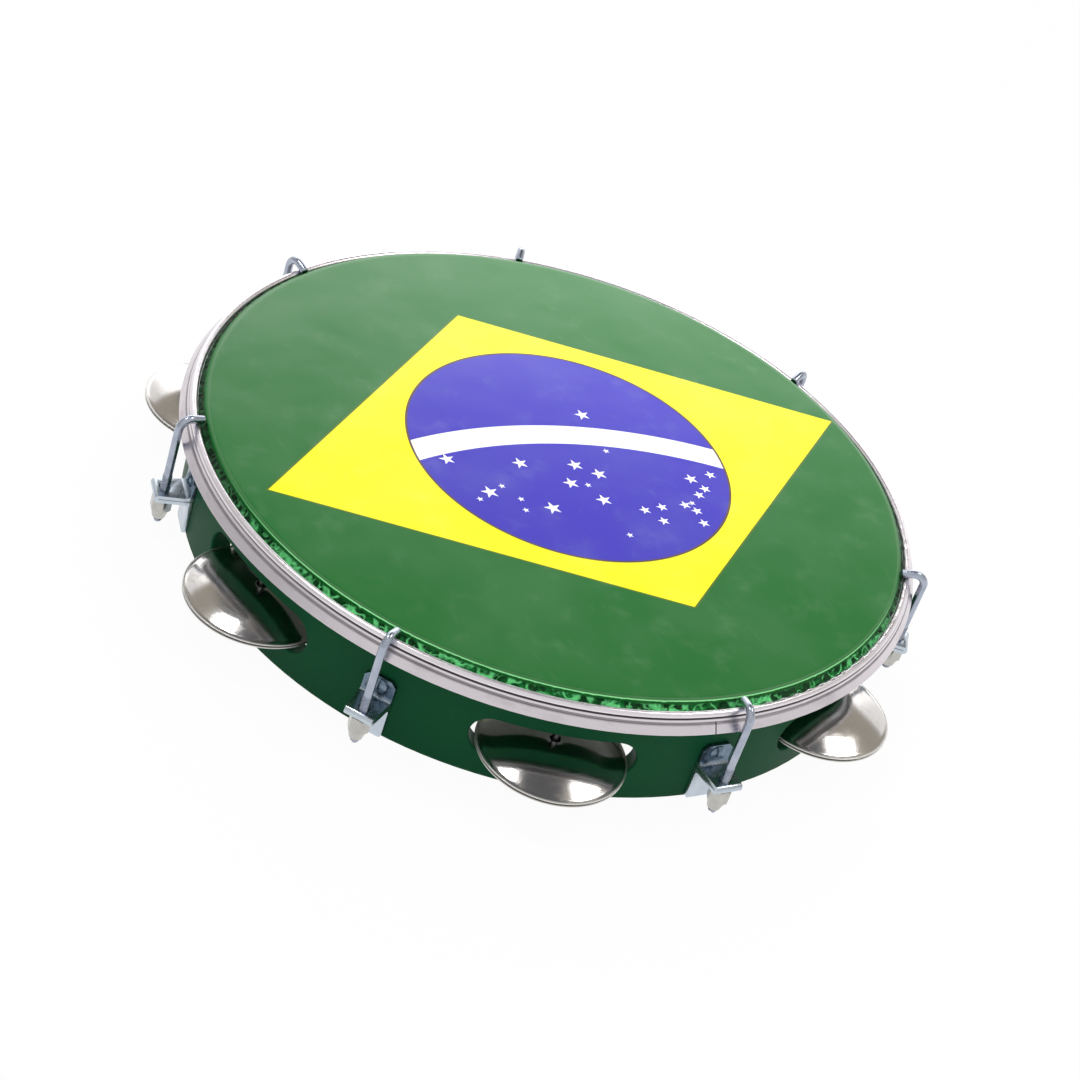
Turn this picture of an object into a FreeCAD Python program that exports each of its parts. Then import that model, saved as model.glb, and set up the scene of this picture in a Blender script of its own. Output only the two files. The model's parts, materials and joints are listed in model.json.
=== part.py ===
import FreeCAD, Part
import math
import os

# A pandeiro, the Brazilian frame drum: a round shell with seven slots, a set of jingles on an
# upright pin in each, and a film head pulled down by a hoop, seven hooks and seven nuts.
# Lengths are in millimetres and angles in degrees. The origin is the centre of the shell's
# lower edge, +Z points up through the head, and +X runs along the long side of the head's print.

# Stations: a hook stands at each one, and a slot lies midway between two of them
station_count = 7
first_hook_angle = 9.93
full_turn = 360
quarter_turn = 90

# How far each hook with its lug, and each slot, stands from even spacing on this hand-built drum
hook_angle_shifts = [3.1, 4.6, -3.5, -1.0, -1.1, -0.1, 1.0]
slot_angle_shifts = [0, 0, 0, -0.8, -1.3, 0.2, 0.4]

# How far a cutting tool runs past the face that it opens
cut_overrun = 2.0

# Shell: a bent ring, rounded outside its bearing edge and bevelled inside it
shell_outer_radius = 152.4
shell_wall = 9.0
shell_height = 52.1
bearing_round = 2.1
bearing_bevel_drop = 4.0
shell_foot_round = 1.0

# Slots for the jingles, oblong with round ends
slot_length = 66.5
slot_height = 18.0
slot_floor = 11.0
slot_edge_round = 0.8

# Head: a film that runs flat over the bearing edge and down beside the shell
film_thickness = 0.35
film_gap = 0.05
film_collar_foot = 44.2

# Flesh hoop: the ring that grips the film's rim
flesh_hoop_gap = 0.3
flesh_hoop_width = 3.3
flesh_hoop_height = 4.6
flesh_hoop_round = 0.7

# Counter hoop: a beaded lip over the flesh hoop and a band that flares down in two steps
hoop_drop_below_head = 2.2
hoop_height = 8.0
hoop_lip_thickness = 2.1
hoop_bead_radius = 1.7
hoop_bead_offset = 3.2
hoop_wall_gap = 0.3
hoop_wall = 1.5
hoop_groove_depth = 0.5
hoop_groove_rise = 0.4
hoop_upper_step = 0.1
hoop_band_height = 0.9
hoop_band_flare = 0.5
hoop_valley_height = 1.0
hoop_valley_depth = 0.35
hoop_lower_step = 0.3
hoop_flange_flare = 2.3
hoop_inner_straight = 2.8
hoop_edge_round = 0.3

# The butt joint of the counter hoop, seen as a fine line across its band
hoop_seam_width = 0.5
hoop_seam_depth = 0.9
hoop_seam_angle = 262.9

# Tension hooks: round rod, upright outside the hoop and bent inwards over its bead, with a
# rolled thread on its lower end that is a little thicker than the rod
rod_radius = 1.75
rod_side_gap = 0.75
rod_seat_gap = 0.05
rod_tip_height = 2.0
thread_radius = 2.0
thread_top_height = 27.0
thread_end_chamfer = 0.6
hook_bend_radius = 4.5
hook_slope_angle = 14
hook_tip_reach = 2.4
hook_tip_chamfer = 0.4

# How far each hook is turned about its own rod, as the nut's last turn left it
hook_swing_angles = [12, -12, -8, 24, 0, -15, 6]

# Tuning lugs: a doubled sheet with a plate up the shell, a shelf for the hook and a leg down
lug_sheet = 1.75
lug_seam_gap = 0.25
lug_width = 13.6
lug_hem_width = 12.0
lug_shelf_top = 19.0
lug_edge_margin = 4.8
lug_fold_radius = 2.0
lug_plate_rise = 9.4
lug_plate_chamfer = 2.2
lug_leg_foot = 0.8
lug_leg_round = 1.5
lug_rod_clearance = 0.35

# Tuning nuts: hexagonal, with a conical nose, under the shelves
tuning_nut_flats = 8.0
tuning_nut_hex_height = 7.0
tuning_nut_nose_height = 4.0
tuning_nut_nose_radius = 2.7
tuning_nut_seat_gap = 0.1
thread_gap = 0.06

# Bolts that hold the lugs, low round heads outside, each with a washer and a nut inside the shell
bolt_radius = 2.0
bolt_rise = 5.5
bolt_hole_gap = 0.15
bolt_head_radius = 3.4
bolt_head_height = 1.9
bolt_head_rim = 0.4
bolt_end_reach = 1.0
washer_radius = 4.5
washer_thickness = 1.0
lug_nut_flats = 7.0
lug_nut_height = 3.2

# Hexagonal blanks: how much of the flats' width is left flat at each end
hexagon_sides = 6
hexagon_end_share = 0.94

# Jingle pins: headed nails pushed up into the shell from below
pin_radius = 1.25
pin_top_height = 39.0
pin_head_radius = 2.4
pin_head_height = 0.9
pin_head_depth = 0.2
pin_bore_gap = 0.05
pin_end_gap = 0.5

# Jingles: two shallow cups, rim to rim, with a flat plate between them, in slots a little longer
jingle_slot_gap = 2.75
jingle_flange_width = 1.5
jingle_sheet = 0.5
jingle_cup_height = 5.9
jingle_crown_radius = 5.0
jingle_hole_radius = 2.2
jingle_plate_inset = 0.9
jingle_stack_gap = 0.15

# Sizes that follow from the ones above
station_step = full_turn / station_count
shell_inner_radius = shell_outer_radius - shell_wall
bearing_crest_radius = shell_outer_radius - bearing_round
pin_circle_radius = shell_outer_radius - shell_wall / 2
film_underside = shell_height + film_gap
head_top = film_underside + film_thickness
film_outer_radius = shell_outer_radius + film_gap + film_thickness
flesh_inner_radius = film_outer_radius + flesh_hoop_gap
flesh_outer_radius = flesh_inner_radius + flesh_hoop_width
hoop_top = head_top - hoop_drop_below_head
hoop_bead_centre_radius = flesh_inner_radius + hoop_bead_offset
hoop_bead_centre_height = hoop_top - hoop_bead_radius
hoop_lip_underside = hoop_top - hoop_lip_thickness
hoop_band_top_radius = hoop_bead_centre_radius + hoop_bead_radius + hoop_upper_step
hoop_band_foot_radius = hoop_band_top_radius + hoop_band_flare
hoop_flange_top_radius = hoop_band_foot_radius + hoop_lower_step
hoop_outer_radius = hoop_flange_top_radius + hoop_flange_flare
rod_axis_radius = hoop_outer_radius + rod_side_gap + rod_radius
lug_face_radius = shell_outer_radius + lug_sheet
lug_shelf_underside = lug_shelf_top - lug_sheet * 2
lug_reach = rod_axis_radius + lug_edge_margin
lug_plate_top = lug_shelf_top + lug_plate_rise
bolt_height = lug_shelf_top + bolt_rise
jingle_radius = slot_length / 2 - jingle_slot_gap
jingle_plate_radius = jingle_radius - jingle_plate_inset
lower_jingle_rim = slot_floor + jingle_stack_gap + jingle_cup_height
jingle_plate_floor = lower_jingle_rim + jingle_stack_gap
upper_jingle_rim = jingle_plate_floor + jingle_sheet + jingle_stack_gap

origin = FreeCAD.Vector(0, 0, 0)
outward = FreeCAD.Vector(1, 0, 0)
sideways = FreeCAD.Vector(0, 1, 0)
up = FreeCAD.Vector(0, 0, 1)
right_angle = math.radians(quarter_turn)


def at(radius, height):
    # A point in the upright plane through the drum's axis and +X
    return FreeCAD.Vector(radius, 0, height)


def polar(centre, radius, angle):
    # A point on a circle in that plane, the angle in radians up from the outward direction
    return centre + at(radius * math.cos(angle), radius * math.sin(angle))


def arc_about(centre, radius, start, end):
    # The middle and the end of an arc that runs from one angle to the other
    return polar(centre, radius, (start + end) / 2), polar(centre, radius, end)


def face_of(start, steps):
    # Each step is the end of a straight edge, or the middle and the end of an arc
    edges = []
    here = start
    for step in steps:
        if isinstance(step, tuple):
            middle, end = step
            edges.append(Part.Arc(here, middle, end).toShape())
        else:
            end = step
            edges.append(Part.LineSegment(here, end).toShape())
        here = end
    return Part.Face(Part.Wire(edges))


def turned(face):
    # The solid that a flat outline leaves as it turns once about the drum's axis
    return face.revolve(origin, up, full_turn)


def tube(inner_radius, outer_radius, height):
    return turned(face_of(at(inner_radius, 0), [
        at(outer_radius, 0),
        at(outer_radius, height),
        at(inner_radius, height),
        at(inner_radius, 0),
    ]))


def laid_outwards(shape, radius, height):
    # A piece modelled up +Z, laid along +X with its foot at this radius and height
    laid = shape.copy()
    laid.rotate(origin, sideways, quarter_turn)
    laid.translate(at(radius, height))
    return laid


def moved(shape, radius, height):
    placed = shape.copy()
    placed.translate(at(radius, height))
    return placed


def at_angle(shape, angle):
    placed = shape.copy()
    placed.rotate(origin, up, angle)
    return placed


def hook_angle(index):
    return first_hook_angle + index * station_step + of_station(hook_angle_shifts, index)


def jingle_angle(index):
    return first_hook_angle + (index - 1 / 2) * station_step + of_station(slot_angle_shifts, index)


def of_station(values, index):
    return values[index % len(values)]


def hexagon_blank(across_flats, height):
    # A nut's blank: two sides face +X and -X, and the corners of both ends are turned off
    side_angle = math.radians(full_turn / hexagon_sides)
    corner_radius = across_flats / 2 / math.cos(side_angle / 2)
    corners = []
    for index in range(hexagon_sides + 1):
        angle = side_angle * index + side_angle / 2
        corners.append(FreeCAD.Vector(corner_radius * math.cos(angle), corner_radius * math.sin(angle), 0))
    prism = Part.Face(Part.makePolygon(corners)).extrude(up * height)
    end_radius = across_flats / 2 * hexagon_end_share
    drop = (corner_radius - end_radius) * math.tan(side_angle / 2)
    turning = turned(face_of(at(0, 0), [
        at(end_radius, 0),
        at(corner_radius, drop),
        at(corner_radius, height - drop),
        at(end_radius, height),
        at(0, height),
        at(0, 0),
    ]))
    return prism.common(turning)


def make_slot_tool():
    # An upright oblong with round ends, run outwards through the wall
    start_radius = shell_inner_radius - cut_overrun
    end_centre = slot_length / 2 - slot_height / 2
    middle_height = slot_floor + slot_height / 2
    slot_top = slot_floor + slot_height

    def corner(across, height):
        return FreeCAD.Vector(start_radius, across, height)

    face = face_of(corner(-end_centre, slot_floor), [
        corner(end_centre, slot_floor),
        (corner(slot_length / 2, middle_height), corner(end_centre, slot_top)),
        corner(-end_centre, slot_top),
        (corner(-slot_length / 2, middle_height), corner(-end_centre, slot_floor)),
    ])
    # The inner face curves away from the tool's ends, so it starts further in than the wall
    deepening = shell_inner_radius - math.sqrt(shell_inner_radius ** 2 - (slot_length / 2) ** 2)
    face.translate(outward * -deepening)
    return face.extrude(outward * (shell_wall + 2 * cut_overrun + deepening))


def make_shell():
    crest_centre = at(bearing_crest_radius, shell_height - bearing_round)
    outer_foot_centre = at(shell_outer_radius - shell_foot_round, shell_foot_round)
    inner_foot_centre = at(shell_inner_radius + shell_foot_round, shell_foot_round)
    foot_start = at(shell_inner_radius + shell_foot_round, 0)
    ring = turned(face_of(foot_start, [
        at(shell_outer_radius - shell_foot_round, 0),
        arc_about(outer_foot_centre, shell_foot_round, -right_angle, 0),
        at(shell_outer_radius, shell_height - bearing_round),
        arc_about(crest_centre, bearing_round, 0, right_angle),
        at(shell_inner_radius, shell_height - bearing_bevel_drop),
        at(shell_inner_radius, shell_foot_round),
        arc_about(inner_foot_centre, shell_foot_round, 2 * right_angle, 3 * right_angle),
    ]))
    slot = make_slot_tool()
    pin_bore = Part.makeCylinder(pin_radius + pin_bore_gap, pin_top_height + pin_end_gap)
    head_recess = Part.makeCylinder(pin_head_radius + pin_bore_gap, pin_head_depth + pin_head_height)
    bolt_hole = Part.makeCylinder(bolt_radius + bolt_hole_gap, shell_wall + 2 * cut_overrun)
    tools = []
    for index in range(station_count):
        tools.append(at_angle(slot, jingle_angle(index)))
        tools.append(at_angle(moved(pin_bore, pin_circle_radius, 0), jingle_angle(index)))
        tools.append(at_angle(moved(head_recess, pin_circle_radius, 0), jingle_angle(index)))
        hole = laid_outwards(bolt_hole, shell_inner_radius - cut_overrun, bolt_height)
        tools.append(at_angle(hole, hook_angle(index)))
    shell = ring.cut(tools)
    return shell.makeFillet(slot_edge_round, slot_rims(shell))


def slot_rims(shell):
    # The edges where the slots meet the shell's outer face
    rims = []
    slot_top = slot_floor + slot_height
    for edge in shell.Edges:
        box = edge.BoundBox
        middle = edge.valueAt((edge.FirstParameter + edge.LastParameter) / 2)
        on_face = abs(math.hypot(middle.x, middle.y) - shell_outer_radius) < film_gap
        within = box.ZMin > slot_floor - film_gap and box.ZMax < slot_top + film_gap
        wide = max(box.XLength, box.YLength) > bolt_radius * 2 + cut_overrun
        if on_face and within and wide:
            rims.append(edge)
    return rims


def make_drumhead():
    crest_centre = at(bearing_crest_radius, shell_height - bearing_round)
    under_round = bearing_round + film_gap
    over_round = under_round + film_thickness
    return turned(face_of(at(0, film_underside), [
        at(bearing_crest_radius, film_underside),
        arc_about(crest_centre, under_round, right_angle, 0),
        at(bearing_crest_radius + under_round, film_collar_foot),
        at(film_outer_radius, film_collar_foot),
        polar(crest_centre, over_round, 0),
        arc_about(crest_centre, over_round, 0, right_angle),
        at(0, head_top),
        at(0, film_underside),
    ]))


def make_flesh_hoop():
    foot = hoop_lip_underside - flesh_hoop_height
    outer_centre = at(flesh_outer_radius - flesh_hoop_round, foot + flesh_hoop_round)
    inner_centre = at(flesh_inner_radius + flesh_hoop_round, foot + flesh_hoop_round)
    start = at(flesh_inner_radius + flesh_hoop_round, foot)
    return turned(face_of(start, [
        at(flesh_outer_radius - flesh_hoop_round, foot),
        arc_about(outer_centre, flesh_hoop_round, -right_angle, 0),
        at(flesh_outer_radius, hoop_lip_underside),
        at(flesh_inner_radius, hoop_lip_underside),
        polar(inner_centre, flesh_hoop_round, 2 * right_angle),
        arc_about(inner_centre, flesh_hoop_round, 2 * right_angle, 3 * right_angle),
    ]))


def make_counter_hoop():
    bead_centre = at(hoop_bead_centre_radius, hoop_bead_centre_height)
    bead_inner = polar(bead_centre, hoop_bead_radius, 2 * right_angle)
    bead_outer = polar(bead_centre, hoop_bead_radius, 0)
    groove = bead_centre.z - hoop_groove_rise
    band_top = groove - hoop_groove_rise
    band_foot = band_top - hoop_band_height
    valley = at(hoop_band_foot_radius - hoop_valley_depth, band_foot - hoop_valley_height / 2)
    flange_top = band_foot - hoop_valley_height
    foot = hoop_top - hoop_height
    flange_inner_radius = hoop_outer_radius - hoop_wall
    outer_edge = at(hoop_outer_radius - hoop_edge_round, foot + hoop_edge_round)
    inner_edge = at(flange_inner_radius + hoop_edge_round, foot + hoop_edge_round)
    hoop = turned(face_of(bead_inner, [
        arc_about(bead_centre, hoop_bead_radius, 2 * right_angle, 0),
        at(bead_outer.x - hoop_groove_depth, groove),
        at(hoop_band_top_radius, band_top),
        at(hoop_band_foot_radius, band_foot),
        (valley, at(hoop_flange_top_radius, flange_top)),
        polar(outer_edge, hoop_edge_round, 0),
        arc_about(outer_edge, hoop_edge_round, 0, -right_angle),
        at(inner_edge.x, foot),
        arc_about(inner_edge, hoop_edge_round, 3 * right_angle, 2 * right_angle),
        at(flesh_outer_radius + hoop_wall_gap, hoop_lip_underside - hoop_inner_straight),
        at(flesh_outer_radius + hoop_wall_gap, hoop_lip_underside),
        at(bead_inner.x, hoop_lip_underside),
        bead_inner,
    ]))
    seam = Part.makeBox(
        hoop_outer_radius - hoop_band_foot_radius + hoop_seam_depth,
        hoop_seam_width,
        band_foot - foot,
        FreeCAD.Vector(hoop_band_foot_radius - hoop_seam_depth, -hoop_seam_width / 2, foot),
    )
    return hoop.cut(at_angle(seam, hoop_seam_angle))


def make_tension_hook(swing):
    # A hook that is turned about its rod crosses the bead further along its arm
    slope = math.radians(hook_slope_angle)
    inwards = at(-math.cos(slope), -math.sin(slope))
    bead_distance = (rod_axis_radius - hoop_bead_centre_radius) / math.cos(math.radians(swing))
    bead_centre = at(rod_axis_radius - bead_distance, hoop_bead_centre_height)
    reach = hoop_bead_radius + rod_radius + rod_seat_gap
    contact = bead_centre + at(-math.sin(slope), math.cos(slope)) * reach
    tip = contact + inwards * hook_tip_reach
    corner = contact - inwards * ((rod_axis_radius - contact.x) / math.cos(slope))
    bend = math.radians(quarter_turn + hook_slope_angle)
    run_in = hook_bend_radius * math.tan(bend / 2)
    bend_centre = at(rod_axis_radius - hook_bend_radius, corner.z - run_in)
    foot = at(rod_axis_radius, rod_tip_height)
    bend_start = polar(bend_centre, hook_bend_radius, 0)
    bend_middle, bend_end = arc_about(bend_centre, hook_bend_radius, 0, bend)
    path = Part.Wire([
        Part.LineSegment(foot, bend_start).toShape(),
        Part.Arc(bend_start, bend_middle, bend_end).toShape(),
        Part.LineSegment(bend_end, tip).toShape(),
    ])
    rod = path.makePipeShell([Part.Wire(Part.makeCircle(rod_radius, foot, up))], True, False)
    tip_edges = [edge for edge in rod.Edges if is_round_end(edge, tip)]
    rod = rod.makeChamfer(hook_tip_chamfer, tip_edges)
    hook = rod.fuse(moved(thread_blank(), rod_axis_radius, 0)).removeSplitter()
    hook.rotate(foot, up, swing)
    return hook


def thread_blank():
    # The threaded end as a plain bar at the thread's outer size, with a pointed foot
    neck = thread_radius - rod_radius
    return turned(face_of(at(0, rod_tip_height), [
        at(thread_radius - thread_end_chamfer, rod_tip_height),
        at(thread_radius, rod_tip_height + thread_end_chamfer),
        at(thread_radius, thread_top_height - neck),
        at(rod_radius, thread_top_height),
        at(0, thread_top_height),
        at(0, rod_tip_height),
    ]))


def is_round_end(edge, centre):
    return isinstance(edge.Curve, Part.Circle) and (edge.Curve.Center - centre).Length < rod_seat_gap


def make_tuning_lug():
    plate = shell_outer_radius
    shelf_middle = (lug_shelf_top + lug_shelf_underside) / 2
    hem_radius = lug_reach - lug_sheet
    leg_fold = at(lug_face_radius + lug_fold_radius, lug_shelf_underside - lug_fold_radius)
    plate_fold = at(lug_face_radius + lug_fold_radius, lug_shelf_top + lug_fold_radius)
    profile = face_of(at(plate, lug_leg_foot), [
        at(lug_face_radius, lug_leg_foot),
        polar(leg_fold, lug_fold_radius, 2 * right_angle),
        arc_about(leg_fold, lug_fold_radius, 2 * right_angle, right_angle),
        at(hem_radius, lug_shelf_underside),
        (at(lug_reach, shelf_middle), at(hem_radius, lug_shelf_top)),
        at(plate_fold.x, lug_shelf_top),
        arc_about(plate_fold, lug_fold_radius, 3 * right_angle, 2 * right_angle),
        at(lug_face_radius, lug_plate_top),
        at(plate, lug_plate_top),
        at(plate, lug_leg_foot),
    ])
    profile.translate(sideways * (-lug_width / 2))
    strip = profile.extrude(sideways * lug_width)
    rod_hole = Part.makeCylinder(
        thread_radius + lug_rod_clearance,
        lug_sheet * 2 + 2 * cut_overrun,
        at(rod_axis_radius, lug_shelf_underside - cut_overrun),
    )
    bolt_hole = laid_outwards(
        Part.makeCylinder(bolt_radius + bolt_hole_gap, lug_sheet + 2 * cut_overrun),
        plate - cut_overrun,
        bolt_height,
    )
    seam = Part.makeBox(
        hem_radius - plate + cut_overrun,
        lug_width + 2 * cut_overrun,
        lug_seam_gap,
        FreeCAD.Vector(plate - cut_overrun, -lug_width / 2 - cut_overrun, shelf_middle - lug_seam_gap / 2),
    )
    return strip.common(lug_front_outline()).common(lug_top_outline()).cut([rod_hole, bolt_hole, seam])


def lug_top_outline():
    # Seen from above, the shelf narrows from the fold at the plate to its hem
    start_radius = shell_outer_radius - cut_overrun
    half = lug_width / 2
    hem_half = lug_hem_width / 2
    end_radius = lug_reach + cut_overrun
    taper_end_half = hem_half - (half - hem_half) * cut_overrun / (lug_reach - lug_face_radius)
    corners = [(start_radius, half), (lug_face_radius, half), (end_radius, taper_end_half)]
    points = [FreeCAD.Vector(radius, across, 0) for radius, across in corners]
    points += [FreeCAD.Vector(radius, -across, 0) for radius, across in reversed(corners)]
    return Part.Face(Part.makePolygon(points + points[:1])).extrude(up * (lug_plate_top + cut_overrun))


def lug_front_outline():
    # Seen from outside, the plate's top corners are cut off and the leg's lower ones are round
    start_radius = shell_outer_radius - cut_overrun
    half = lug_width / 2
    leg_shoulder = lug_leg_foot + lug_leg_round
    round_side = lug_leg_round * (1 - math.cos(right_angle / 2))
    round_foot = lug_leg_foot + round_side

    def corner(across, height):
        return FreeCAD.Vector(start_radius, across, height)

    face = face_of(corner(-half + lug_leg_round, lug_leg_foot), [
        corner(half - lug_leg_round, lug_leg_foot),
        (corner(half - round_side, round_foot), corner(half, leg_shoulder)),
        corner(half, lug_plate_top - lug_plate_chamfer),
        corner(half - lug_plate_chamfer, lug_plate_top),
        corner(-half + lug_plate_chamfer, lug_plate_top),
        corner(-half, lug_plate_top - lug_plate_chamfer),
        corner(-half, leg_shoulder),
        (corner(-half + round_side, round_foot), corner(-half + lug_leg_round, lug_leg_foot)),
    ])
    return face.extrude(outward * (lug_reach - start_radius + cut_overrun))


def make_tuning_nut():
    # Modelled upside down, its seat at the foot and its nose on top, then turned over
    blank = hexagon_blank(tuning_nut_flats, tuning_nut_hex_height)
    nose = Part.makeCone(
        tuning_nut_flats / 2 * hexagon_end_share,
        tuning_nut_nose_radius,
        tuning_nut_nose_height,
        at(0, tuning_nut_hex_height),
    )
    bore = Part.makeCylinder(
        thread_radius + thread_gap,
        tuning_nut_hex_height + tuning_nut_nose_height + 2 * cut_overrun,
        at(0, -cut_overrun),
    )
    nut = blank.fuse(nose).cut(bore).removeSplitter()
    nut.rotate(origin, sideways, 2 * quarter_turn)
    return moved(nut, rod_axis_radius, lug_shelf_underside - tuning_nut_seat_gap)


def washer_seat_radius():
    # A flat washer meets the hollow inner face of the shell at its rim
    return math.sqrt(shell_inner_radius ** 2 - washer_radius ** 2)


def make_lug_bolt():
    end_radius = washer_seat_radius() - washer_thickness - lug_nut_height - bolt_end_reach
    shank = Part.makeCylinder(bolt_radius, lug_face_radius - end_radius)
    shank = laid_outwards(shank, end_radius, bolt_height)
    head = laid_outwards(round_head(), lug_face_radius, bolt_height)
    return shank.fuse(head).removeSplitter()


def round_head():
    # A short straight rim and a shallow dome over it
    rise = bolt_head_height - bolt_head_rim
    sphere_radius = (bolt_head_radius ** 2 + rise ** 2) / (2 * rise)
    half_sweep = math.asin(bolt_head_radius / sphere_radius) / 2
    drop = sphere_radius * (1 - math.cos(half_sweep))
    middle = at(sphere_radius * math.sin(half_sweep), bolt_head_height - drop)
    return turned(face_of(at(0, 0), [
        at(bolt_head_radius, 0),
        at(bolt_head_radius, bolt_head_rim),
        (middle, at(0, bolt_head_height)),
        at(0, 0),
    ]))


def make_lug_washer():
    washer = tube(bolt_radius + bolt_hole_gap, washer_radius, washer_thickness)
    return laid_outwards(washer, washer_seat_radius() - washer_thickness, bolt_height)


def make_lug_nut():
    bore_length = lug_nut_height + 2 * cut_overrun
    bore = Part.makeCylinder(bolt_radius + thread_gap, bore_length, at(0, -cut_overrun))
    nut = hexagon_blank(lug_nut_flats, lug_nut_height).cut(bore)
    return laid_outwards(nut, washer_seat_radius() - washer_thickness - lug_nut_height, bolt_height)


def make_jingle_pin():
    foot = at(pin_circle_radius, pin_head_depth)
    head = Part.makeCylinder(pin_head_radius, pin_head_height, foot)
    shank = Part.makeCylinder(pin_radius, pin_top_height - pin_head_depth, foot)
    return head.fuse(shank).removeSplitter()


def make_jingle_cup():
    # A dome that leaves its flat crown level and meets a narrow flat flange at the rim
    dome_radius = jingle_radius - jingle_flange_width
    dome_height = jingle_cup_height - jingle_sheet
    run = dome_radius - jingle_crown_radius
    curve = (run ** 2 + dome_height ** 2) / (2 * dome_height)
    half_sweep = math.atan2(dome_height, run)
    middle_radius = jingle_crown_radius + curve * math.sin(half_sweep)
    middle_drop = curve * (1 - math.cos(half_sweep))
    return turned(face_of(at(jingle_hole_radius, dome_height), [
        at(jingle_crown_radius, dome_height),
        (at(middle_radius, dome_height - middle_drop), at(dome_radius, 0)),
        at(jingle_radius, 0),
        at(jingle_radius, jingle_sheet),
        at(dome_radius, jingle_sheet),
        (at(middle_radius, jingle_cup_height - middle_drop), at(jingle_crown_radius, jingle_cup_height)),
        at(jingle_hole_radius, jingle_cup_height),
        at(jingle_hole_radius, dome_height),
    ]))


def make_jingles():
    cup = make_jingle_cup()
    lower = cup.copy()
    lower.rotate(origin, outward, 2 * quarter_turn)
    plate = tube(jingle_hole_radius, jingle_plate_radius, jingle_sheet)
    return {
        "jingle_lower": moved(lower, pin_circle_radius, lower_jingle_rim),
        "jingle_plate": moved(plate, pin_circle_radius, jingle_plate_floor),
        "jingle_upper": moved(cup, pin_circle_radius, upper_jingle_rim),
    }


def save(name, shape):
    shape.exportStep("parts/" + name + ".step")
    print(name, "solids", len(shape.Solids), "valid", shape.isValid(), "volume", round(shape.Volume, 1))


def save_each(name, shape, angle_of):
    for index in range(station_count):
        save(name + "_" + str(index + 1), at_angle(shape, angle_of(index)))


def save_group(name, shape):
    save(name, Part.Compound([at_angle(shape, hook_angle(index)) for index in range(station_count)]))


os.makedirs("parts", exist_ok=True)
save("shell", make_shell())
save("drumhead", make_drumhead())
save("flesh_hoop", make_flesh_hoop())
save("counter_hoop", make_counter_hoop())
for hook_index in range(station_count):
    hook = make_tension_hook(of_station(hook_swing_angles, hook_index))
    save("tension_hook_" + str(hook_index + 1), at_angle(hook, hook_angle(hook_index)))
save_each("tuning_lug", make_tuning_lug(), hook_angle)
save_each("tuning_nut", make_tuning_nut(), hook_angle)
save_group("lug_bolts", make_lug_bolt())
save_group("lug_washers", make_lug_washer())
save_group("lug_nuts", make_lug_nut())
save_each("jingle_pin", make_jingle_pin(), jingle_angle)
for jingle_name, jingle in make_jingles().items():
    save_each(jingle_name, jingle, jingle_angle)
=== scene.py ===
import json
import math

import bpy
from mathutils import Matrix, Vector, noise


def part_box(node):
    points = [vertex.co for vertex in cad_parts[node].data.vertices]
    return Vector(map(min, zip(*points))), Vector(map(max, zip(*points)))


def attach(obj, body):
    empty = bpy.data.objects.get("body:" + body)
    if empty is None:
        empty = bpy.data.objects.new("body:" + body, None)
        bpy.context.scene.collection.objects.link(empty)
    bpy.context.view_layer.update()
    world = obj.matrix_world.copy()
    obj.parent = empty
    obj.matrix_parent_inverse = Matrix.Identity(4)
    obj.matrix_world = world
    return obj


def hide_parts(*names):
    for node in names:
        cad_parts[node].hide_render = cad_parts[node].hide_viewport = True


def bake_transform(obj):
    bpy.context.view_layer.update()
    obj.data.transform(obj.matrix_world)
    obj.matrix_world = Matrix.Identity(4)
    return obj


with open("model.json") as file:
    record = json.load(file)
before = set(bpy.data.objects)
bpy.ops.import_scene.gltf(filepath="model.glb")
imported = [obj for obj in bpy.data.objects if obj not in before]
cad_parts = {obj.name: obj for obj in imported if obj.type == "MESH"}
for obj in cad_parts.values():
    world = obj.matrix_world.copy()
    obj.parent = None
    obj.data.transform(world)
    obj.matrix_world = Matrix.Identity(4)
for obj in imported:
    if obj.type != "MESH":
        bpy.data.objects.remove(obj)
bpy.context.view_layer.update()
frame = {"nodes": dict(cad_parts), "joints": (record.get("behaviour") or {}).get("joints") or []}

mm = 0.001  # values in the dictionaries are in millimetres and degrees
zAxis = Vector((0, 0, 1))
stationCount = 7
unrolledRadius = 160  # where marks that run round the drum keep their true length


def jointPlace(name):
    joint = next(item for item in frame["joints"] if item["name"] == name)
    return Vector(joint["pos_m"])


def angleOf(place):
    return math.atan2(place.y, place.x)


stations = range(1, stationCount + 1)
hookPlaces = {k: jointPlace(f"nut_turn_{k}") for k in stations}
jinglePlaces = {k: jointPlace(f"jingle_spin_{k}") for k in stations}


# Shader maths

class Num:  # a socket that can be used in sums like a number
    def __init__(self, tree, socket):
        self.tree = tree
        self.socket = socket

    def by(self, operation, *others):
        values = dict(enumerate([self, *others]))
        return self.tree.node("ShaderNodeMath", {"operation": operation}, values)

    def after(self, operation, first):
        return self.tree.node("ShaderNodeMath", {"operation": operation}, {0: first, 1: self})

    def __add__(self, other):
        return self.by("ADD", other)

    def __radd__(self, other):
        return self.by("ADD", other)

    def __sub__(self, other):
        return self.by("SUBTRACT", other)

    def __rsub__(self, other):
        return self.after("SUBTRACT", other)

    def __mul__(self, other):
        return self.by("MULTIPLY", other)

    def __truediv__(self, other):
        return self.by("DIVIDE", other)

    def __abs__(self):
        return self.by("ABSOLUTE")

    def __lt__(self, other):
        return self.by("LESS_THAN", other)

    def __gt__(self, other):
        return self.by("GREATER_THAN", other)


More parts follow.
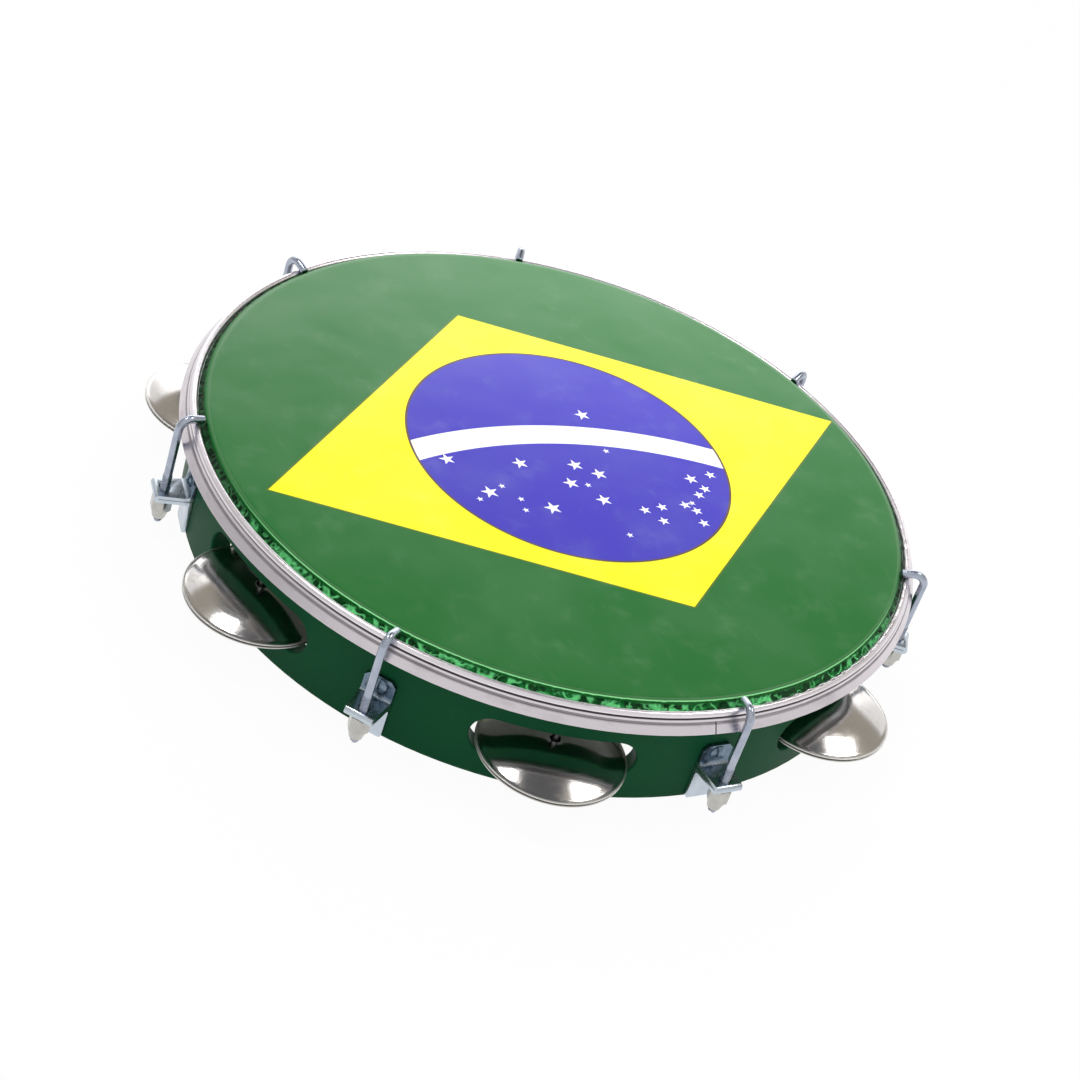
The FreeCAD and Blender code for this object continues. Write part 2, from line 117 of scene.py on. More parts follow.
class Tree:  # adds nodes to one node tree
    def __init__(self, tree):
        self.tree = tree

    def node(self, kind, settings=None, values=None, output=0):
        made = self.tree.nodes.new(kind)
        for name, setting in (settings or {}).items():
            setattr(made, name, setting)
        for key, value in (values or {}).items():
            self.feed(made.inputs[key], value)
        return Num(self, made.outputs[output])

    def feed(self, socket, value):
        if isinstance(value, Num):
            self.tree.links.new(value.socket, socket)
        else:
            socket.default_value = value

    def parts(self, vector):
        made = self.node("ShaderNodeSeparateXYZ", {}, {0: vector})
        return [Num(self, socket) for socket in made.socket.node.outputs]

    def vector(self, x, y, z):
        return self.node("ShaderNodeCombineXYZ", {}, {0: x, 1: y, 2: z})

    def eased(self, value, low, high):  # 0 up to low, 1 from high on
        ends = {"Value": value, "From Min": low, "From Max": high}
        return self.node("ShaderNodeMapRange", {"interpolation_type": "SMOOTHSTEP"}, ends)

    def mixed(self, mask, low, high):
        return self.node("ShaderNodeMix", {"data_type": "RGBA"}, {0: mask, 6: low, 7: high}, output=2)

    def rising(self, value, limits):  # the same between two limits in millimetres
        return self.eased(value, limits[0] * mm, limits[1] * mm)

    def line(self, value, middle, inner, outer):  # 1 near the middle value, 0 further off
        return 1 - self.eased(abs(value - middle), inner, outer)

    def cloud(self, place, size, detail=2.0, roughness=0.5):  # noise with spots about that many mm wide
        values = {"Vector": place, "Scale": 1 / (size * mm), "Detail": detail, "Roughness": roughness}
        return self.node("ShaderNodeTexNoise", {}, values)

    def marks(self, place, low, high, **noiseValues):  # patches where the noise is high
        return self.eased(self.cloud(place, **noiseValues), low, high)

    def vectorMath(self, operation, first, second):
        return self.node("ShaderNodeVectorMath", {"operation": operation}, {0: first, 1: second})

    def stretched(self, place, x, y, z):
        return self.vectorMath("MULTIPLY", place, (x, y, z))


class Finish(Tree):  # one material on a Principled shader
    def __init__(self, name, **fixed):
        self.material = bpy.data.materials.new(name)
        self.material.use_nodes = True
        super().__init__(self.material.node_tree)
        self.shader = self.tree.nodes["Principled BSDF"]
        for key, value in fixed.items():
            self.set(key, value)
        coordinates = self.node("ShaderNodeTexCoord")
        self.place = Num(self, coordinates.socket.node.outputs["Object"])
        self.x, self.y, self.z = self.parts(self.place)
        self.ring = (self.x * self.x + self.y * self.y).by("SQRT")  # how far from the drum's axis

    def set(self, key, value):
        self.feed(self.shader.inputs[key.replace("_", " ")], value)

    def bump(self, height):  # height in millimetres
        return self.node("ShaderNodeBump", {}, {"Height": height, "Distance": mm})

    def around(self):  # a place with one axis along the ring, for marks that run round the drum
        turn = self.y.by("ARCTAN2", self.x)
        return self.vector(self.ring, turn * (unrolledRadius * mm), self.z)

    def towards(self, degrees):  # 1 on that side of the drum, -1 on the far side
        turn = math.radians(degrees)
        return (self.x * math.cos(turn) + self.y * math.sin(turn)) / self.ring


def tone(red, green, blue):  # a screen colour, 0 to 255, as the shader's linear one
    shares = [channel / 255 for channel in (red, green, blue)]
    linear = [s / 12.92 if s <= 0.04045 else ((s + 0.055) / 1.055) ** 2.4 for s in shares]
    return (*linear, 1)


# Modelling by hand

weldGap = 0.001  # millimetres between points that are merged


def only(piece):
    bpy.ops.object.select_all(action="DESELECT")
    piece.select_set(True)
    bpy.context.view_layer.objects.active = piece


def startShape(name):  # the primitive just added, in edit mode with everything selected
    piece = bpy.context.object
    piece.name = name
    piece.data.name = name
    bpy.ops.object.mode_set(mode="EDIT")
    bpy.ops.mesh.select_all(action="SELECT")
    return piece


def endShape(piece):
    bpy.ops.object.mode_set(mode="OBJECT")
    only(piece)
    bpy.ops.object.transform_apply(location=True, rotation=True, scale=True)
    return piece


def tidyShape(closeness=weldGap):
    bpy.ops.mesh.select_all(action="SELECT")
    bpy.ops.mesh.remove_doubles(threshold=closeness * mm)
    bpy.ops.mesh.normals_make_consistent(inside=False)


def smoothed(piece, angle):
    only(piece)
    bpy.ops.object.shade_smooth_by_angle(angle=math.radians(angle))
    return piece


def finishedWith(piece, kind, **settings):
    only(piece)
    modifier = piece.modifiers.new(kind, kind)
    for name, value in settings.items():
        setattr(modifier, name, value)
    bpy.ops.object.modifier_apply(modifier=modifier.name)
    return piece


def drawnChain(name, points):  # one vertex drawn out along a row of points
    bpy.ops.mesh.primitive_plane_add(size=mm, location=points[0])
    piece = startShape(name)
    bpy.ops.mesh.merge(type="CENTER")
    for here, there in zip(points, points[1:]):
        bpy.ops.mesh.extrude_vertices_move(TRANSFORM_OT_translate={"value": there - here})
    return piece


def spunPiece(name, profile, steps):  # the profile is a row of (radius, height) pairs
    points = [Vector((radius, 0, height)) * mm for radius, height in profile]
    piece = drawnChain(name, points)
    bpy.ops.mesh.select_all(action="SELECT")
    bpy.ops.mesh.spin(steps=steps, angle=2 * math.pi, center=(0, 0, 0), axis=zAxis)
    tidyShape()
    return endShape(piece)


def arcPoints(centre, radius, start, end, count):
    turns = [math.radians(start + (end - start) * k / count) for k in range(count + 1)]
    return [(centre[0] + radius * math.cos(t), centre[1] + radius * math.sin(t)) for t in turns]


def copied(piece, name, matrix):  # a copy with its own mesh, its place put into the mesh
    twin = piece.copy()
    twin.data = piece.data.copy()
    twin.name = name
    twin.data.name = name
    bpy.context.collection.objects.link(twin)
    twin.data.transform(matrix)
    return twin


def atStation(place, swing=0):  # turns +X to point outwards there
    return Matrix.Translation((place.x, place.y, 0)) @ Matrix.Rotation(angleOf(place) + swing, 4, "Z")


def dressed(piece, material, body, slot, *nodes):
    piece.data.materials.clear()
    piece.data.materials.append(material)
    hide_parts(*nodes)
    if body:
        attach(piece, body)
    return piece


# Head film and its print

film = {
    "crestRadius": 150.3,
    "crestHeight": 50.0,
    "overRound": 2.5,
    "leaveAngle": 14,
    "footRadius": 154.35,
    "footHeight": 48.55,
    "thickness": 0.25,
    "flatRings": [60, 120, 144, 149],
    "bendRows": 7,
    "collarRows": 12,
    "collarPower": 1.6,
    "smoothAngle": 60,
    "steps": 1680,
    "green": tone(33, 107, 45),
    # A painted highlight line on the bend, and its shaded side
    "edgeHighlightGreen": tone(160, 250, 172),
    "edgeShade": tone(22, 128, 50),
    "collarGreen": tone(6, 92, 30),
    # Painted shade in the collar's folds, on the side towards the light and on the side away from it
    "foldShadeLitGreen": tone(0, 62, 22),
    "foldShadeAwayGreen": tone(0, 30, 11),
    # Painted sheen patches on the collar
    "paintedSheenGreen": tone(16, 122, 52),
    # Painted highlight strokes on the collar's gathers
    "strokeHighlightGreen": tone(110, 222, 138),
    "yellow": tone(255, 250, 0),
    "blue": tone(62, 53, 181),
    "white": tone(250, 250, 252),
    "underside": tone(196, 206, 194),
    "haze": tone(196, 214, 190),
}

gathers = {
    "startTurn": 55,
    "length": 2.3,
    "depth": 0.8,
    "depthPower": 0.6,
    "coarse": 1.1,
    "coarseRise": 0.35,
    "fine": 0.7,
    "fineRise": 0.9,
    "fineScale": 2.3,
    "fineShift": (5, 3),
    "sway": 0.7,
    "lift": 0.35,
    "footShare": 0.86,
    "footPush": 0.3,
    "clearance": 1,
    "clearanceSlope": 0.5,
}

filmLook = {
    "roughness": 0.17,
    "metal": 0.8,
    "flatEnd": (151.55, 151.85),
    "lineEnd": (151.95, 152.2),
    "dullRing": (150.3, 151.2),
    "foldShadeTop": (50.2, 51.2),
    "middleHeight": (52.35, 52.4),
    "undersideRing": 150.8,
    "undersideShare": 0.55,
    "swirlRise": 0.8,
    "broadFold": {"size": 6.8, "detail": 1},
    "broadLine": {"middle": 0.5, "inner": 0.012, "outer": 0.075},
    "narrowFold": {"size": 3.8, "detail": 1},
    "narrowLine": {"middle": 0.62, "inner": 0.012, "outer": 0.07},
    "narrowShare": 0.7,
    "sheen": {"low": 0.46, "high": 0.62, "size": 5.0},
    # Painted sheen patches and highlight strokes: how much shows away from the light, and how much the
    # light side adds
    "sheenShares": (0.15, 0.7),
    "strokeShares": (0.12, 0.88),
    "lightSide": 245,
    "lightFade": (0.25, 0.75),
    "blotch": {"low": 0.35, "high": 0.75, "size": 46},
    "smudge": {"low": 0.50, "high": 0.85, "size": 17, "detail": 5, "roughness": 0.6},
    "scuff": {"low": 0.62, "high": 0.78, "size": 3.2, "detail": 5},
    "scuffLength": 0.25,
    "paleShares": {"blotch": 0.035, "smudge": 0.05, "scuff": 0.02},
    "dullShares": {"smudge": 0.07, "scuff": 0.03, "edge": 0.34},
    "grain": {"size": 0.35},
    "wave": {"size": 26, "detail": 1},
    "bumps": {"grain": 0.008, "wave": 0.11, "stroke": 0.25},
}

headPrint = {
    "centre": (4.8, 0.5),
    "discRadius": 71.5,
    "rhombusHalfLength": 144.8,
    "rhombusHalfHeight": 101.8,
    "bandCentreShares": (-0.499, -2.375),
    "bandInnerShare": 2.5180,
    "bandOuterShare": 2.6940,
    "discLineWidth": 0.5,
    "rhombusLineWidth": 0.45,
    "starGap": 0.001,
    "discLineTone": tone(96, 70, 60),
    "rhombusLineTone": tone(84, 110, 20),
}

# Star radii in millimetres, and where each star stands in disc radii from the disc's centre
starGroups = {
    4.1: [(-0.39, -0.455), (-0.705, -0.251)],
    3.75: [(0.29, 0.333), (-0.815, 0.077), (-0.374, -0.035), (-0.029, -0.111), (0.08, -0.216),
          (-0.149, -0.263), (-0.025, -0.445)],
    3.4: [(0.663, -0.363)],
    2.8: [(0.188, -0.577), (0.314, -0.572), (0.252, -0.691), (0.816, -0.35), (0.7, -0.467),
          (0.626, -0.512), (0.477, -0.581), (0.522, -0.646), (0.502, -0.757)],
    1.7: [(0.251, -0.021), (-0.049, -0.299), (-0.799, -0.299), (-0.602, -0.213), (-0.545, -0.344),
          (-0.568, -0.442), (0.534, -0.573), (-0.04, -0.768)],
}


def starMask(finish, x, y):
    # The place within each star, added up, so that one outline serves them all
    here = finish.vector(x, y, 0)
    total = None
    for starRadius, centres in starGroups.items():
        share = starRadius / headPrint["discRadius"]
        for centre in centres:
            offset = finish.vectorMath("SUBTRACT", here, (*centre, 0))
            length = finish.node("ShaderNodeVectorMath", {"operation": "LENGTH"}, {0: offset}, output=1)
            scale = (length < share) / share
            own = finish.node("ShaderNodeVectorMath", {"operation": "SCALE"}, {0: offset, "Scale": scale})
            total = own if total is None else finish.vectorMath("ADD", total, own)
    across, along = finish.parts(total)[:2]
    reach = (across * across + along * along).by("SQRT")
    # A five-pointed star with one tip up: the turn is folded to the nearest tip, then held under its flank
    flank = 2 * math.pi / 5
    turn = (along.by("ARCTAN2", across) - math.pi / 2).by("PINGPONG", flank / 2)
    inside = reach * (flank - turn).by("COSINE") < math.cos(flank)
    return inside * (reach > headPrint["starGap"])  # where no star lies the sum is nought


def printColour(finish):
    disc = headPrint["discRadius"]
    x = (finish.x / mm - headPrint["centre"][0]) / disc
    y = (finish.y / mm - headPrint["centre"][1]) / disc
    fromCentre = (x * x + y * y).by("SQRT")
    slant = abs(x) / (headPrint["rhombusHalfLength"] / disc)
    slant = slant + abs(y) / (headPrint["rhombusHalfHeight"] / disc)
    rhombus = slant < 1
    rhombusLine = abs(slant - 1) < headPrint["rhombusLineWidth"] / headPrint["rhombusHalfHeight"]
    inDisc = fromCentre < 1
    discLine = abs(fromCentre - 1) < headPrint["discLineWidth"] / disc
    bandX = x - headPrint["bandCentreShares"][0]
    bandY = y - headPrint["bandCentreShares"][1]
    bandReach = (bandX * bandX + bandY * bandY).by("SQRT")
    band = (bandReach > headPrint["bandInnerShare"]) * (bandReach < headPrint["bandOuterShare"]) * inDisc
    colour = finish.mixed(rhombus, film["green"], film["yellow"])
    colour = finish.mixed(rhombusLine, colour, headPrint["rhombusLineTone"])
    colour = finish.mixed(inDisc, colour, film["blue"])
    colour = finish.mixed(starMask(finish, x, y) * inDisc, colour, film["white"])
    colour = finish.mixed(band, colour, film["white"])
    return finish.mixed(discLine, colour, headPrint["discLineTone"])


def filmFinish():
    finish = Finish("film_print", IOR=1.5)
    look = filmLook
    # Past the edge: a painted highlight line on the bend, then painted shade in the folds with painted
    # highlight strokes and sheen, brighter on the side towards the light
    past = finish.rising(finish.ring, look["flatEnd"])
    bend = past * (1 - finish.rising(finish.ring, look["lineEnd"]))
    # Low on the collar, where the painted fold shade lies
    deep = 1 - finish.rising(finish.z, look["foldShadeTop"])
    swirl = finish.stretched(finish.around(), 1, 1, look["swirlRise"])
    broad = finish.line(finish.cloud(swirl, **look["broadFold"]), **look["broadLine"])
    narrow = finish.line(finish.cloud(swirl, **look["narrowFold"]), **look["narrowLine"])
    sheen = finish.marks(swirl, **look["sheen"])
    # Which side faces the light: there the painted strokes, sheen and edge line are brighter and the
    # painted fold shade is lighter
    lightFacing = finish.eased(finish.towards(look["lightSide"]), *look["lightFade"])
    # Painted highlight strokes where the gathers would catch the light; the same strokes also drive the
    # bump
    strokeAwayFromLight, strokeTowardLight = look["strokeShares"]
    stroke = broad.by("MAXIMUM", narrow * look["narrowShare"]) * deep * (strokeAwayFromLight + lightFacing * strokeTowardLight)
    blotch = finish.marks(finish.place, **look["blotch"])
    smudge = finish.marks(finish.place, **look["smudge"])
    scuff = finish.marks(finish.stretched(finish.place, 1, look["scuffLength"], 1), **look["scuff"])
    sheenAwayFromLight, sheenTowardLight = look["sheenShares"]
    # Painted shade low on the collar, under the bearing edge, darker on the side away from the light
    foldShade = finish.mixed(lightFacing, film["foldShadeAwayGreen"], film["foldShadeLitGreen"])
    # Painted sheen patches on the folds, mostly on the side towards the light
    foldShade = finish.mixed(sheen * (sheenAwayFromLight + lightFacing * sheenTowardLight), foldShade, film["paintedSheenGreen"])
    collar = finish.mixed(deep, film["collarGreen"], foldShade)
    collar = finish.mixed(stroke, collar, film["strokeHighlightGreen"])
    # The painted highlight line along the bend, shaded on the side away from the light
    collar = finish.mixed(bend, collar, finish.mixed(lightFacing, film["edgeShade"], film["edgeHighlightGreen"]))
    colour = finish.mixed(past, printColour(finish), collar)
    pale = look["paleShares"]
    haze = blotch * pale["blotch"] + smudge * pale["smudge"] + scuff * pale["scuff"]
    colour = finish.mixed(haze, colour, film["haze"])
    # The print shows through to the underside, paler
    below = 1 - finish.rising(finish.z, look["middleHeight"])
    below = below * (finish.ring < look["undersideRing"] * mm) * look["undersideShare"]
    finish.set("Base_Color", finish.mixed(below, colour, film["underside"]))
    dull = look["dullShares"]
    turning = finish.rising(finish.ring, look["dullRing"])
    roughness = look["roughness"] + smudge * dull["smudge"] + scuff * dull["scuff"]
    finish.set("Roughness", roughness + turning * dull["edge"])
    finish.set("Metallic", past * look["metal"])
    bumps = look["bumps"]
    relief = finish.cloud(finish.place, **look["grain"]) * bumps["grain"]
    relief = relief + finish.cloud(finish.place, **look["wave"]) * bumps["wave"]
    finish.set("Normal", finish.bump(relief + stroke * past * bumps["stroke"]))
    return finish.material


def wrinkled(piece):
    # Gathers of the film below the bearing edge, deeper towards the flesh hoop
    top = film["crestHeight"] + film["overRound"] * math.sin(math.radians(gathers["startTurn"]))
    perLength = film["footRadius"] / gathers["length"]
    for vertex in piece.data.vertices:
        height = vertex.co.z / mm
        if height >= top:
            continue
        depth = min((top - height) / (top - film["footHeight"]), 1)
        turn = math.atan2(vertex.co.y, vertex.co.x)
        outward = Vector((math.cos(turn), math.sin(turn), 0))
        circle = outward * perLength
        sway = math.sin(turn * perLength * gathers["sway"])
        fineHeight = height * gathers["fineRise"] + sway
        coarse = noise.noise(circle + zAxis * (height * gathers["coarseRise"]))
        fine = noise.noise(circle * gathers["fineScale"] + Vector((*gathers["fineShift"], fineHeight)))
        push = (coarse * gathers["coarse"] + fine * gathers["fine"]) * gathers["depth"]
        push *= depth ** gathers["depthPower"]
        # The foot keeps clear of the bead
        hold = 1 - max(depth - gathers["footShare"], 0) / (1 - gathers["footShare"])
        vertex.co += outward * (push * (gathers["footPush"] + (1 - gathers["footPush"]) * hold) * mm)
        vertex.co.z += fine * gathers["lift"] * gathers["depth"] * depth * hold * mm
        reach = math.hypot(vertex.co.x, vertex.co.y) / mm
        above = max(height - film["footHeight"] - gathers["clearance"], 0)
        furthest = film["footRadius"] + above * gathers["clearanceSlope"]
        if reach > furthest:
            vertex.co -= outward * ((reach - furthest) * mm)
    return piece


def headFilm():
    crest = (film["crestRadius"], film["crestHeight"])
    top = film["crestHeight"] + film["overRound"]
    profile = [(0, top)] + [(radius, top) for radius in film["flatRings"]]
    profile += arcPoints(crest, film["overRound"], 90, film["leaveAngle"], film["bendRows"])
    leave = profile[-1]
    foot = (film["footRadius"], film["footHeight"])
    for row in range(1, film["collarRows"] + 1):
        share = row / film["collarRows"]
        radius = leave[0] + (foot[0] - leave[0]) * share ** film["collarPower"]
        profile.append((radius, leave[1] + (foot[1] - leave[1]) * share))
    piece = wrinkled(spunPiece("head_film", profile, film["steps"]))
    finishedWith(piece, "SOLIDIFY", thickness=film["thickness"] * mm, offset=-1)
    smoothed(piece, film["smoothAngle"])
    dressed(piece, filmFinish(), None, "head_film", "drumhead")
    edge = Vector((film["crestRadius"], 0, film["crestHeight"])) * mm
    edge - zAxis * (film["crestHeight"] - film["footHeight"]) * mm
    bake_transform(piece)
    print("head film with its print and gathered collar")


# Shell

shellLook = {
    "green": tone(14, 74, 44),
    "worn": tone(70, 118, 88),
    "inside": tone(26, 84, 50),
    "fixed": {"IOR": 1.5, "Specular_IOR_Level": 0.05, "Coat_Weight": 0.015, "Coat_Roughness": 0.2},
    "insideRing": 144.5,
    "roughness": 0.42,
    "grain": {"size": 1.1, "detail": 4},
    "grainLength": 0.06,
    "peel": {"size": 1.6, "detail": 1},
    "dust": {"low": 0.55, "high": 0.75, "size": 9, "detail": 7, "roughness": 0.7},
    "chips": {"low": 0.5, "high": 0.62, "size": 2.4, "detail": 5},
    "lowEdge": (0.2, 2.2),
    "topEdge": (50.6, 52.0),
    "wearShares": {"dust": 0.06, "grain": 0.03, "chips": 0.4},
    "dullShares": {"dust": 0.14, "grain": 0.08, "inside": 0.1},
    "bumps": {"peel": 0.035, "grain": 0.05},
}


def shellFinish():
    look = shellLook
    finish = Finish("shell_lacquer", **look["fixed"])
    grain = finish.cloud(finish.stretched(finish.around(), 1, look["grainLength"], 1), **look["grain"])
    peel = finish.cloud(finish.place, **look["peel"])
    dust = finish.marks(finish.place, **look["dust"])
    chips = finish.marks(finish.place, **look["chips"])
    edges = 1 - finish.rising(finish.z, look["lowEdge"]) + finish.rising(finish.z, look["topEdge"])
    inside = finish.ring < look["insideRing"] * mm
    wear = look["wearShares"]
    worn = dust * wear["dust"] + grain * wear["grain"] + edges * chips * wear["chips"]
    colour = finish.mixed(inside, look["green"], look["inside"])
    finish.set("Base_Color", finish.mixed(worn, colour, look["worn"]))
    dull = look["dullShares"]
    roughness = look["roughness"] + dust * dull["dust"] + (grain - 0.5) * dull["grain"]
    finish.set("Roughness", roughness + inside * dull["inside"])
    finish.set("Normal", finish.bump(peel * look["bumps"]["peel"] + grain * look["bumps"]["grain"]))
    return finish.material


# Metals

wearNoise = {"low": 0.5, "high": 0.72, "detail": 6, "roughness": 0.65}

hoopLook = {
    "bright": tone(234, 228, 233),
    "dull": tone(184, 175, 180),
    # The colour of the painted shade in the groove and the valley
    "grooveShade": tone(48, 38, 44),
    "roughness": 0.30,
    "lines": {"size": 0.30, "detail": 3},
    "lineLength": 0.012,
    "stainSize": 7,
    "stainLength": 0.35,
    "wave": {"size": 5},
    "groove": {"middle": 48.1 * mm, "inner": 0.25 * mm, "outer": 0.62 * mm},
    "valley": {"middle": 46.2 * mm, "inner": 0.2 * mm, "outer": 0.95 * mm},
    "outsideRing": 157.2,
    # The side where the painted shade in the groove is strongest
    "shadeSide": 245,
    "shadeFade": (0.45, 0.9),
    "grooveShadeShares": (0.45, 0.47),
    "valleyShadeShare": 0.58,
    "flangeTop": (45.4, 46.2),
    "dullShares": {"stain": 0.30, "flange": 0.24},
    "roughShares": {"stain": 0.12, "lines": 0.22, "grooveShade": 0.25},
    "bumps": {"lines": 0.03, "wave": 0.10},
}


def hoopFinish():
    finish = Finish("rolled_steel", Metallic=1.0, IOR=1.5)
    look = hoopLook
    place = finish.around()
    lines = finish.cloud(finish.stretched(place, 1, look["lineLength"], 1), **look["lines"])
    stainPlace = finish.stretched(place, 1, look["stainLength"], 1)
    stain = finish.marks(stainPlace, size=look["stainSize"], **wearNoise)
    outside = finish.ring > look["outsideRing"] * mm
    # Painted shade: a darker line in the groove and in the valley below it, strongest towards one side; it
    # also raises the roughness there
    shadedSide = finish.eased(finish.towards(look["shadeSide"]), *look["shadeFade"])
    shadeEverywhere, shadeAdded = look["grooveShadeShares"]
    grooveShade = finish.line(finish.z, **look["groove"]) * outside * (shadeEverywhere + shadedSide * shadeAdded)
    grooveShade = grooveShade + finish.line(finish.z, **look["valley"]) * outside * look["valleyShadeShare"]
    flange = 1 - finish.rising(finish.z, look["flangeTop"])
    dull = stain * look["dullShares"]["stain"] + flange * look["dullShares"]["flange"]
    colour = finish.mixed(dull, look["bright"], look["dull"])
    finish.set("Base_Color", finish.mixed(grooveShade, colour, look["grooveShade"]))
    rough = look["roughShares"]
    roughness = look["roughness"] + stain * rough["stain"] + (lines - 0.5) * rough["lines"]
    finish.set("Roughness", roughness + grooveShade * rough["grooveShade"])
    wave = finish.cloud(place, **look["wave"])
    finish.set("Normal", finish.bump(lines * look["bumps"]["lines"] + wave * look["bumps"]["wave"]))
    return finish.material


zincLook = {
    "hooks": {"light": tone(190, 196, 208), "dark": tone(146, 154, 172), "dirtTop": 4},
    "lugs": {"light": tone(206, 214, 222), "dark": tone(176, 188, 200), "dirtTop": 4},
    "nuts": {"light": tone(204, 202, 196), "dark": tone(170, 168, 164), "dirtTop": 9},
    "plateLight": tone(134, 152, 166),
    "plateDark": tone(84, 100, 118),
    "plateFoot": (18.6, 20.2),
    "plateRing": (163, 166),
    "dirt": tone(74, 76, 78),
    "dirtFade": 6,
    "patch": {"size": 4.5, "detail": 3},
    "speck": {"low": 0.58, "high": 0.72, "size": 0.8, "detail": 4, "roughness": 0.7},
    "speckShares": (0.16, 0.5),
    "grain": {"size": 0.5, "detail": 3},
    "roughness": 0.20,
    "roughShares": {"patch": 0.10, "speck": 0.14},
    "bumps": {"grain": 0.025, "patch": 0.04},
}


def zincFinish(name, light, dark, dirtTop, plate=False):
    finish = Finish(name, Metallic=1.0)
    look = zincLook
    patch = finish.cloud(finish.place, **look["patch"])
    speck = finish.marks(finish.place, **look["speck"])
    low = 1 - finish.rising(finish.z, (dirtTop - look["dirtFade"], dirtTop))
    colour = finish.mixed(patch, light, dark)
    if plate:  # the plate up the shell, above the shelf and close to the shell, is darker and bluer than the bent edges
        plateTone = finish.mixed(patch, look["plateLight"], look["plateDark"])
        near = 1 - finish.rising(finish.ring, look["plateRing"])
        colour = finish.mixed(finish.rising(finish.z, look["plateFoot"]) * near, colour, plateTone)
    anywhere, lowDown = look["speckShares"]
    finish.set("Base_Color", finish.mixed(speck * (anywhere + low * lowDown), colour, look["dirt"]))
    rough = look["roughShares"]
    finish.set("Roughness", look["roughness"] + patch * rough["patch"] + speck * rough["speck"])
    grain = finish.cloud(finish.place, **look["grain"])
    finish.set("Normal", finish.bump(grain * look["bumps"]["grain"] + patch * look["bumps"]["patch"]))
    return finish.material


channelLook = {
    "bright": tone(206, 207, 210),
    "dull": tone(150, 152, 156),
    "dullShare": 0.5,
    "wearSize": 11,
    "lines": {"size": 0.4, "detail": 3},
    "lineLength": 0.02,
    "roughness": 0.36,
    "roughShares": {"lines": 0.2, "dull": 0.12},
    "lineBump": 0.03,
}


def channelFinish():
    finish = Finish("plain_channel", Metallic=1.0)
    look = channelLook
    place = finish.around()
    lines = finish.cloud(finish.stretched(place, 1, look["lineLength"], 1), **look["lines"])
    dull = finish.marks(place, size=look["wearSize"], **wearNoise)
    finish.set("Base_Color", finish.mixed(dull * look["dullShare"], look["bright"], look["dull"]))
    rough = look["roughShares"]
    finish.set("Roughness", look["roughness"] + (lines - 0.5) * rough["lines"] + dull * rough["dull"])
    finish.set("Normal", finish.bump(lines * look["lineBump"]))
    return finish.material


pinLook = {
    "bright": tone(112, 112, 114),
    "rust": tone(62, 48, 40),
    "rustShare": 0.7,
    "rustSize": 3,
    "lines": {"size": 0.3},
    "lineHeight": 0.05,
    "roughness": 0.38,
    "roughShares": {"rust": 0.25, "lines": 0.15},
    "bumps": {"lines": 0.02, "rust": 0.03},
}


def pinFinish():
    finish = Finish("drawn_wire", Metallic=1.0)
    look = pinLook
    rust = finish.marks(finish.place, size=look["rustSize"], **wearNoise)
    lines = finish.cloud(finish.stretched(finish.place, 1, 1, look["lineHeight"]), **look["lines"])
    finish.set("Base_Color", finish.mixed(rust * look["rustShare"], look["bright"], look["rust"]))
    rough = look["roughShares"]
    finish.set("Roughness", look["roughness"] + rust * rough["rust"] + (lines - 0.5) * rough["lines"])
    finish.set("Normal", finish.bump(lines * look["bumps"]["lines"] + rust * look["bumps"]["rust"]))
    return finish.material


jingleLook = {
    "bright": tone(208, 205, 203),
    "hazy": tone(176, 168, 158),
    "spot": tone(96, 86, 78),
    "rim": tone(236, 234, 230),
    "rimStart": (29.4, 30.1),
    "hazeSize": 8,
    "spots": {"low": 0.64, "high": 0.76, "size": 1.1, "detail": 5, "roughness": 0.7},
    "fineRings": {"size": 0.22, "detail": 3},
    "broadRings": {"size": 2.2},
    "ringSway": 0.6,
    "colourShares": {"haze": 0.5, "spot": 0.35, "rim": 0.6},
    "roughness": 0.13,
    "roughShares": {"rings": 0.14, "haze": 0.08, "spot": 0.15, "rim": 0.30},
    "bumps": {"fine": 0.008, "broad": 0.035},
}


def jingleFinish():
    finish = Finish("spun_steel", Metallic=1.0)
    look = jingleLook
    fromPin = finish.node("ShaderNodeAttribute", {"attribute_name": "fromPin"}, output=2)
    turnShare = finish.node("ShaderNodeAttribute", {"attribute_name": "turnShare"}, output=2)
    rings = finish.vector(fromPin, turnShare * look["ringSway"] * mm, 0.0)
    fineRings = finish.cloud(rings, **look["fineRings"])
    broadRings = finish.cloud(rings, **look["broadRings"])
    haze = finish.marks(finish.place, size=look["hazeSize"], **wearNoise)
    spot = finish.marks(finish.place, **look["spots"])
    rim = finish.rising(fromPin, look["rimStart"])
    shares = look["colourShares"]
    colour = finish.mixed(haze * shares["haze"], look["bright"], look["hazy"])
    colour = finish.mixed(spot * shares["spot"], colour, look["spot"])
    finish.set("Base_Color", finish.mixed(rim * shares["rim"], colour, look["rim"]))
    rough = look["roughShares"]
    roughness = look["roughness"] + (fineRings - 0.5) * rough["rings"] + haze * rough["haze"]
    finish.set("Roughness", roughness + spot * rough["spot"] + rim * rough["rim"])
    bumps = look["bumps"]
    finish.set("Normal", finish.bump(fineRings * bumps["fine"] + broadRings * bumps["broad"]))
    return finish.material


# Tension hooks

hookRod = {
    "radius": 1.75,
    "threadRadius": 2.0,
    "threadRoot": 1.62,
    "threadPitch": 0.7,
    "threadFoot": 2.0,
    "threadTop": 27.0,
    "bendRadius": 4.5,
    "slope": 14,
    "tipReach": 2.4,
    "seatGap": 0.05,
    "beadCentre": (156.3, 48.6),
    "beadRadius": 1.7,
    "swings": [12, -12, -8, 24, 0, -15, 6],
    "sides": 28,
    "bendSteps": 14,
    "tipRound": 0.55,
    "tipSteps": 4,
    "barOverlap": 2,
    "smoothAngle": 40,
}

